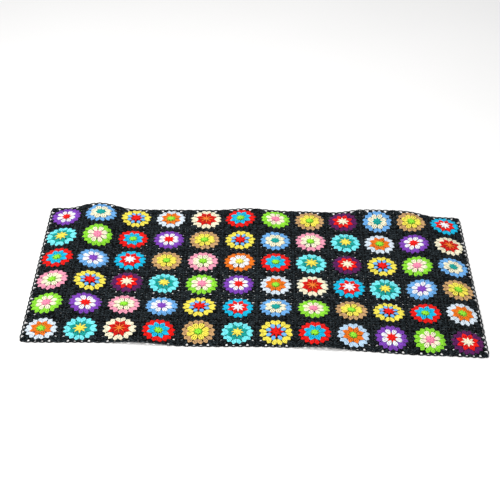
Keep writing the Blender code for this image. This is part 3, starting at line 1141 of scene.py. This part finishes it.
@dataclass
class Web:
    """The thin web of black yarn behind the stitches, with the gaps that show between them."""

    cloth: Cloth
    underside: float = 0.4 * MM
    thickness: float = 1.1 * MM
    course: float = 5.4 * MM  # three strands of the web side by side
    spread: int = 3  # of the web's own points, to each side of a square's middle
    spacing: float = 13.0  # of those points, in mm, as the sizes below
    clearance: float = 2.0  # from a gap's middle to the nearest of those points, in its radii
    uneven: float = 0.35  # how far a corner of a gap strays by hand
    pulls: tuple[float, ...] = (1.3, 1.25, 1.0, 0.85, 0.8, 0.8)  # how open the gaps are, from the front row
    openness: Span = (0.7, 1.1)  # from the tightest gap of a row to its widest
    side_hole: Hole = Hole((46.0, 8.7), 2.4)  # off the tooth tips beside each axis
    large_hole: Hole = Hole((41.7, 27.0), 3.1, corners=8)  # off the other tooth tips
    corner_hole: Hole = Hole((46.4, 46.4), 2.0)
    joint_bites: tuple[Bite, ...] = tuple(Bite(middle, 2.6, 2.4) for middle in FAN_MIDDLES)
    outer_bites: tuple[Bite, ...] = (
        Bite(-28.0, 3.4, 12.2, ROUNDED),
        Bite(-9.3, 3.4, 7.4, ROUNDED),
        Bite(9.3, 3.4, 7.4, ROUNDED),
        Bite(28.0, 3.4, 12.2, ROUNDED),
    )
    corner_cut: Span = (3.6, 7.4)  # along the joined side, and along the outer one
    chamfer: float = 9.0

    SEED = 77
    INSIDE = 0.86  # of a gap's radius: the middles of the triangles that fill it lie within
    NEAR_RIM = 1.05  # of a gap's radius: its corners lie within, and no other point
    TOLERANCE = 0.01  # between two places that are the same, in mm
    MICRON = 6  # decimals of a metre

    def corner_points(self, first_outer: bool, second_outer: bool) -> list[tuple[float, float]]:
        """The corner between a side and the next one, cut back where the blanket's outside begins.

        Args:
            first_outer: whether the first side joins nothing.
            second_outer: whether the next side joins nothing.

        Returns:
            Places off and along the first side, in order.
        """
        side = self.cloth.half / MM
        cut, low = (side - reach for reach in self.corner_cut)
        if first_outer and second_outer:
            return [(side, side - self.chamfer), (side - self.chamfer, side)]
        if first_outer:
            return [(side, cut), (low, cut), (low, side)]
        if second_outer:
            return [(side, low), (cut, low), (cut, side)]
        return [(side, side)]

    def holes(self, outer_sides: Sides) -> list[Hole]:
        """The gaps that lie inside a square.

        Args:
            outer_sides: whether the right, back, left and front side joins nothing.

        Returns:
            The gaps.
        """
        found = []
        for quarter, outer in enumerate(outer_sides):
            turned = quarter_turn(quarter)
            for hole in () if outer else (self.large_hole, self.side_hole):
                for mirror in (1.0, -1.0):
                    middle = np.array([hole.middle[0], hole.middle[1] * mirror]) @ turned
                    found.append(hole._replace(middle=tuple(middle)))
            if not outer and not outer_sides[(quarter + 1) % 4]:
                middle = np.array(self.corner_hole.middle) @ turned
                found.append(self.corner_hole._replace(middle=tuple(middle)))
        return found

    def square_web(self, outer_sides: Sides) -> tuple[Array, list[list[int]]]:
        """The web of one square as triangles.

        Args:
            outer_sides: whether the right, back, left and front side joins nothing.

        Returns:
            Rows of x and y in millimetres, and the triangles between them.
        """
        outline: list[Array] = []
        for quarter, outer in enumerate(outer_sides):
            bites = self.outer_bites if outer else self.joint_bites
            line = [corner for bite in bites for corner in bite.corners(self.cloth.half / MM)]
            line += self.corner_points(outer, outer_sides[(quarter + 1) % 4])
            outline += list(np.array(line) @ quarter_turn(quarter))
        holes = self.holes(outer_sides)
        loops = [np.array(outline)] + [hole.rim() for hole in holes]
        edges: list[tuple[int, int]] = []
        for loop in loops:
            first = len(edges)
            edges += [(first + k, first + (k + 1) % len(loop)) for k in range(len(loop))]
        line = np.arange(-self.spread, self.spread + 1) * self.spacing
        grid = np.array([(x, y) for x in line for y in line])
        clear = [hole.from_middle(grid) > self.clearance for hole in holes]
        points = np.concatenate([*loops, grid[np.all(clear, axis=0)]])
        found = delaunay_2d_cdt([Vector(point) for point in points], edges, [], 1, self.TOLERANCE)
        places = np.array([tuple(place) for place in found[0]])
        middles = np.array([places[triangle].mean(axis=0) for triangle in found[2]])
        filled = np.all([hole.from_middle(middles) > self.INSIDE for hole in holes], axis=0)
        return places, [triangle for triangle, kept in zip(found[2], filled) if kept]

    def opened(self, places: Array, holes: list[Hole], pull: float, rng: np.random.Generator) -> Array:
        """Opens or closes each gap a little, as the pull of the cloth and the hand leave it.

        Args:
            places: the points of a square's web, in millimetres.
            holes: the gaps inside the square.
            pull: how open the gaps of this row are.
            rng: the source of the hand's small differences.

        Returns:
            The points with the gaps' corners moved.
        """
        moved = places.copy()
        for hole in holes:
            rim = hole.from_middle(places) < self.NEAR_RIM
            away = places[rim] - np.array(hole.middle)
            moved[rim] -= away * (1.0 - pull * rng.uniform(*self.openness))
        return moved

    def build(self) -> bpy.types.Object:
        """Builds the web of all squares as one sheet.

        Returns:
            The web.
        """
        rng = np.random.default_rng(self.SEED)
        flats, faces, webs = [], [], {}
        count = 0
        for row in range(self.cloth.rows):
            for column in range(self.cloth.columns):
                sides = self.cloth.outer_sides(column, row)
                if sides not in webs:
                    webs[sides] = self.square_web(sides)
                places, triangles = webs[sides]
                inside = np.abs(places).max(axis=1, keepdims=True) < self.cloth.half / MM - self.TOLERANCE
                strayed = self.opened(places, self.holes(sides), self.pulls[row], rng)
                strayed += inside * rng.uniform(-self.uneven, self.uneven, places.shape)
                local = np.column_stack([strayed * MM, np.full(len(places), self.underside)])
                flats.append(self.cloth.from_square(column, row, local))
                faces.append(np.array(triangles) + count)
                count += len(places)
        flat = np.concatenate(flats)
        # Two squares share the points of their joined side.
        same = np.round(flat[:, :2], self.MICRON)
        _, first, shared = np.unique(same, axis=0, return_index=True, return_inverse=True)
        flat = flat[first]
        triangles = shared.reshape(-1)[np.concatenate(faces)]
        mesh = bpy.data.meshes.new("ground_web")
        mesh.from_pydata(self.cloth.place(flat).tolist(), [], triangles.tolist())
        layer = mesh.uv_layers.new(name=Strands.UV_NAME)
        layer.uv.foreach_set("vector", (flat[triangles.reshape(-1), :2] / self.course).reshape(-1))
        # The web has no painted-shading attribute, so the material paints all of it at the flanks' painted
        # shade.
        mesh.materials.append(YarnFinish.of(Yarn.BLACK).material())
        mesh.shade_smooth()
        piece = linked(bpy.data.objects.new("ground_web", mesh))
        solid = piece.modifiers.new("thickness", "SOLIDIFY")
        solid.thickness = self.thickness
        solid.offset = 1.0
        return piece


@dataclass
class Joins:
    """The black stitches that join the squares: two strands that cross, and part round each gap.

    Its sizes are in millimetres.
    """

    cloth: Cloth
    gap_half: float = 3.4  # from a gap's middle to the crossings beside it
    swing: float = 1.6  # of a strand from the joint
    gap_swing: float = 3.2
    yarn: float = 1.2
    height: float = 2.4
    over: float = 0.4  # how far one strand rises over the other where they cross
    crossings: tuple[int, ...] = (2, 3, 3, 3, 3, 2)  # between the corners and the gaps
    stations: int = 2  # points of a strand from one crossing to the next
    uneven: float = 0.25  # how far a strand strays by hand

    SEED = 55

    def pair(self) -> Array:
        """The two strands along one side of a square.

        Returns:
            For each strand, rows of the place off the joint, along it and above the underside, in mm.
        """
        side = self.cloth.half / MM
        ends = [-side]
        for middle in FAN_MIDDLES:
            ends += [middle - self.gap_half, middle + self.gap_half]
        ends.append(side)
        phases = [0]
        for count in self.crossings:
            phases += [phases[-1] + count, phases[-1] + count + 1]
        phases = phases[:-1]
        phase = np.arange(phases[-1] * self.stations + 1) / self.stations
        along = np.interp(phase, phases, ends)
        at_gap = np.isclose(along[:, None], np.array(FAN_MIDDLES)).any(axis=1)
        swing = np.where(at_gap, self.gap_swing, self.swing)
        sway, weave = np.sin(math.pi * phase), np.cos(math.pi * phase)
        strands = []
        for sign in (-1.0, 1.0):
            heights = self.height + sign * self.over * weave
            strands.append(np.column_stack([sign * swing * sway, along, heights]))
        return np.stack(strands)

    def build(self) -> bpy.types.Object:
        """Builds all joints as one piece.

        Returns:
            The joints.
        """
        cloth = self.cloth
        side = cloth.half / MM
        pair = self.pair()
        rng = np.random.default_rng(self.SEED)
        paths = []
        for row in range(cloth.rows):
            for column in range(cloth.columns):
                right, back, _, _ = cloth.outer_sides(column, row)
                for outer, quarter in ((right, 0), (back, 1)):
                    if outer:
                        continue
                    local = pair.copy()
                    local[..., :2] += rng.normal(0.0, self.uneven, local[..., :2].shape)
                    local[..., 0] += side
                    local[..., :2] = local[..., :2] @ quarter_turn(quarter)
                    flat = cloth.from_square(column, row, local.reshape(-1, 3) * MM)
                    paths.append(flat.reshape(local.shape))
        strands = Strands()
        lines = np.concatenate(paths)
        strands.add(lines, np.full(lines.shape[:2], self.yarn * MM), 0)
        return strands.piece("joining_stitches", cloth.place(strands.flat()), (Yarn.BLACK,))


@dataclass
class Edging:
    """The last black round: a plait of two strands that arches round each tooth tip along the outside."""

    cloth: Cloth
    valley: float = 1.4 * MM  # from the squares' outer side to the plait's middle
    arch: float = 2.8 * MM  # how far the plait stands out beyond that at a tooth tip
    corner: float = 10.0 * MM
    crossings: int = 4  # of the two strands along one arch
    stations: int = 3  # points of a strand from one crossing to the next
    swing: float = 0.9 * MM  # of a strand from the plait's middle
    over: float = 0.5 * MM  # how far one strand rises over the other where they cross
    yarn: float = 1.3 * MM
    height: float = 2.0 * MM

    def rim(self, s: Array) -> tuple[Array, Array]:
        """The outer side's line with rounded corners, which starts at the front left.

        Args:
            s: lengths along the line.

        Returns:
            Rows of x and y on the line, and rows of the outward direction.
        """
        sides, ends, half = self.stretches()
        stretch = np.clip(np.searchsorted(ends, s, side="right") - 1, 0, len(sides) - 1)
        part = (s - ends[stretch]) / sides[stretch]
        quarter = stretch // 2
        on_arc = stretch % 2 == 1
        starts = np.array([[-1, -1], [1, -1], [1, 1], [-1, 1]]) * half
        ways = np.array([[1, 0], [0, 1], [-1, 0], [0, -1]])
        angle = 0.5 * math.pi * (quarter - 1 + np.where(on_arc, part, 0.0))
        outward = np.column_stack([np.cos(angle), np.sin(angle)])
        straight = starts[quarter] + ways[quarter] * (part * sides[stretch])[:, None]
        turned = starts[(quarter + 1) % 4]
        return np.where(on_arc[:, None], turned, straight) + outward * self.corner, outward

    def stretches(self) -> tuple[Array, Array, Array]:
        """The sides and corner arcs in order.

        Returns:
            The length of each, where each begins along the line, and half of the straight sides.
        """
        half = np.array([self.cloth.half_width, self.cloth.half_depth]) - self.corner
        arc = 0.5 * math.pi * self.corner
        sides = np.array([2 * half[0], arc, 2 * half[1], arc, 2 * half[0], arc, 2 * half[1], arc])
        return sides, np.concatenate([[0.0], np.cumsum(sides)]), half

    def valleys(self) -> Array:
        """Where the plait dips between two arches.

        Returns:
            Lengths along the line.
        """
        sides, ends, _ = self.stretches()
        found = []
        for quarter, count in enumerate((self.cloth.columns, self.cloth.rows) * 2):
            middle = ends[2 * quarter] + 0.5 * sides[2 * quarter]
            squares = (np.arange(count) - 0.5 * (count - 1)) * self.cloth.pitch
            found.append((middle + squares[:, None] + np.array(FAN_MIDDLES) * MM).reshape(-1))
        return np.concatenate(found)

    def build(self) -> bpy.types.Object:
        """Builds the edging.

        Returns:
            The edging.
        """
        valleys = self.valleys()
        total = self.stretches()[1][-1]
        arches = len(valleys)
        stations = self.crossings * self.stations
        phase = np.arange(arches * stations) / stations
        s = np.interp(phase, np.arange(arches + 1), np.append(valleys, valleys[0] + total)) % total
        line, outward = self.rim(s)
        swell = np.abs(np.sin(math.pi * phase))
        turn = math.pi * self.crossings * phase
        strands = Strands()
        for sign in (-1.0, 1.0):
            away = self.valley + self.arch * swell + sign * self.swing * np.sin(turn)
            height = self.height + sign * self.over * np.cos(turn)
            path = np.column_stack([line + outward * away[:, None], height])[None]
            strands.add(path, np.full(path.shape[:2], self.yarn), 0, closed=True)
        return strands.piece("edging_round", self.cloth.place(strands.flat()), (Yarn.BLACK,))


@dataclass
class Blanket:
    """The whole blanket: the web, its squares, their joints and the edging."""

    cloth: Cloth

    def build(self) -> None:
        """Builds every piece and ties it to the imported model."""
        for row in range(self.cloth.rows):
            for column in range(self.cloth.columns):
                self.carried(GrannySquare(self.cloth, column, row).build())
        joins = self.carried(Joins(self.cloth).build())
        edging = self.carried(Edging(self.cloth).build())
        web = self.carried(Web(self.cloth).build())
        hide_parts("squares_sheet")
        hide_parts("edging")

    def carried(self, piece: bpy.types.Object) -> bpy.types.Object:
        """Ties a piece to the body, and reports it.

        Args:
            piece: the piece.

        Returns:
            The same piece.
        """
        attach(piece, BODY)
        LOG.info("%s: %d faces", piece.name, len(piece.data.polygons))
        return piece


class Softbox(NamedTuple):
    """A square soft light that faces the blanket's middle."""

    name: str
    place: tuple[float, float, float]
    size: float  # in metres
    power: float  # in watts

    def hang(self) -> None:
        """Makes the light."""
        light = bpy.data.lights.new(self.name, "AREA")
        light.shape = "SQUARE"
        light.size = self.size
        light.energy = self.power
        lamp = linked(bpy.data.objects.new(self.name, light))
        lamp.location = self.place
        lamp.rotation_euler = (-Vector(self.place)).to_track_quat("-Z", "Y").to_euler()


@dataclass(frozen=True)
class FloorPaint:
    """Matt floor paint, rolled on: pale and dull, in broad patches that hardly differ."""

    tones: tuple[str, str] = ("#DCDBD9", "#E1E0DE")
    patches_a_metre: float = 1.5
    roughness: float = 0.9
    specular: float = 0.2

    def material(self) -> bpy.types.Material:
        """The material.

        Returns:
            The material.
        """
        material = bpy.data.materials.new("matt_painted_floor")
        material.use_nodes = True
        tree = material.node_tree
        shader = tree.nodes["Principled BSDF"]
        place = add_node(tree, "ShaderNodeTexCoord").outputs["Object"]
        patches = {"Vector": place, "Scale": self.patches_a_metre}
        noise = add_node(tree, "ShaderNodeTexNoise", inputs=patches)
        ramp = add_node(tree, "ShaderNodeValToRGB", inputs={0: noise.outputs[0]})
        for stop, tone in zip(ramp.color_ramp.elements, self.tones):
            stop.color = linear(tone)
        tree.links.new(ramp.outputs[0], shader.inputs["Base Color"])
        shader.inputs["Roughness"].default_value = self.roughness
        shader.inputs["Specular IOR Level"].default_value = self.specular
        return material


@dataclass
class Studio:
    """The plain floor, the soft lights and the camera."""

    softboxes: tuple[Softbox, ...] = (
        Softbox("overhead_softbox", (-0.4, 0.2, 2.6), 2.0, 64.0),
        Softbox("front_softbox", (-1.8, -2.4, 1.9), 1.8, 44.0),
    )
    surround: str = "#F6F7FA"
    surround_strength: float = 0.8
    paint: FloorPaint = FloorPaint()
    floor_size: float = 60.0
    look_at: tuple[float, float, float] = (-0.016, 0.127, 0.0)  # what lies in the middle of the picture
    distance: float = 3.60  # from there to the camera
    elevation: float = math.radians(37.0)
    azimuth: float = math.radians(-0.4)
    roll: float = math.radians(1.75)
    focal_pixels: float = 1200.0  # the lens's focal length, where the picture is as wide as the next line
    frame_pixels: float = 500.0
    sensor: float = 36.0  # in mm

    def floor(self) -> None:
        """A pale matt floor under the cloth."""
        half = 0.5 * self.floor_size
        corners = [(-half, -half, 0.0), (half, -half, 0.0), (half, half, 0.0), (-half, half, 0.0)]
        mesh = bpy.data.meshes.new("floor")
        mesh.from_pydata(corners, [], [(0, 1, 2, 3)])
        mesh.materials.append(self.paint.material())
        linked(bpy.data.objects.new("floor", mesh))

    def lights(self) -> None:
        """A broad soft light overhead, a weaker one from the front left, and a pale surround."""
        for softbox in self.softboxes:
            softbox.hang()
        world = bpy.data.worlds.new("studio")
        world.use_nodes = True
        background = world.node_tree.nodes["Background"]
        background.inputs["Color"].default_value = linear(self.surround)
        background.inputs["Strength"].default_value = self.surround_strength
        bpy.context.scene.world = world

    def camera(self) -> None:
        """The camera above the cloth, at the photograph's angle."""
        data = bpy.data.cameras.new("camera")
        data.sensor_width = self.sensor
        data.lens = self.sensor * self.focal_pixels / self.frame_pixels
        camera = linked(bpy.data.objects.new("camera", data))
        level = math.cos(self.elevation)
        sideways, forward = math.sin(self.azimuth) * level, math.cos(self.azimuth) * level
        back = Vector((sideways, -forward, math.sin(self.elevation)))
        right = Vector((0.0, 0.0, 1.0)).cross(back).normalized()
        facing = Matrix((right, back.cross(right), back)).transposed()
        facing = facing @ Matrix.Rotation(self.roll, 3, "Z")
        eye = Vector(self.look_at) + back * self.distance
        camera.matrix_world = Matrix.Translation(eye) @ facing.to_4x4()
        bpy.context.scene.camera = camera

    def build(self) -> None:
        """Sets up the floor, the lights and the camera."""
        self.floor()
        self.lights()
        self.camera()
        bpy.context.scene.view_settings.view_transform = "Standard"


def main() -> None:
    """Builds the blanket and the studio."""
    logging.basicConfig(level=logging.INFO, format="%(message)s")
    Blanket(Cloth().centred(EDGING_REACH)).build()
    Studio().build()


if __name__ == "__main__":
    main()
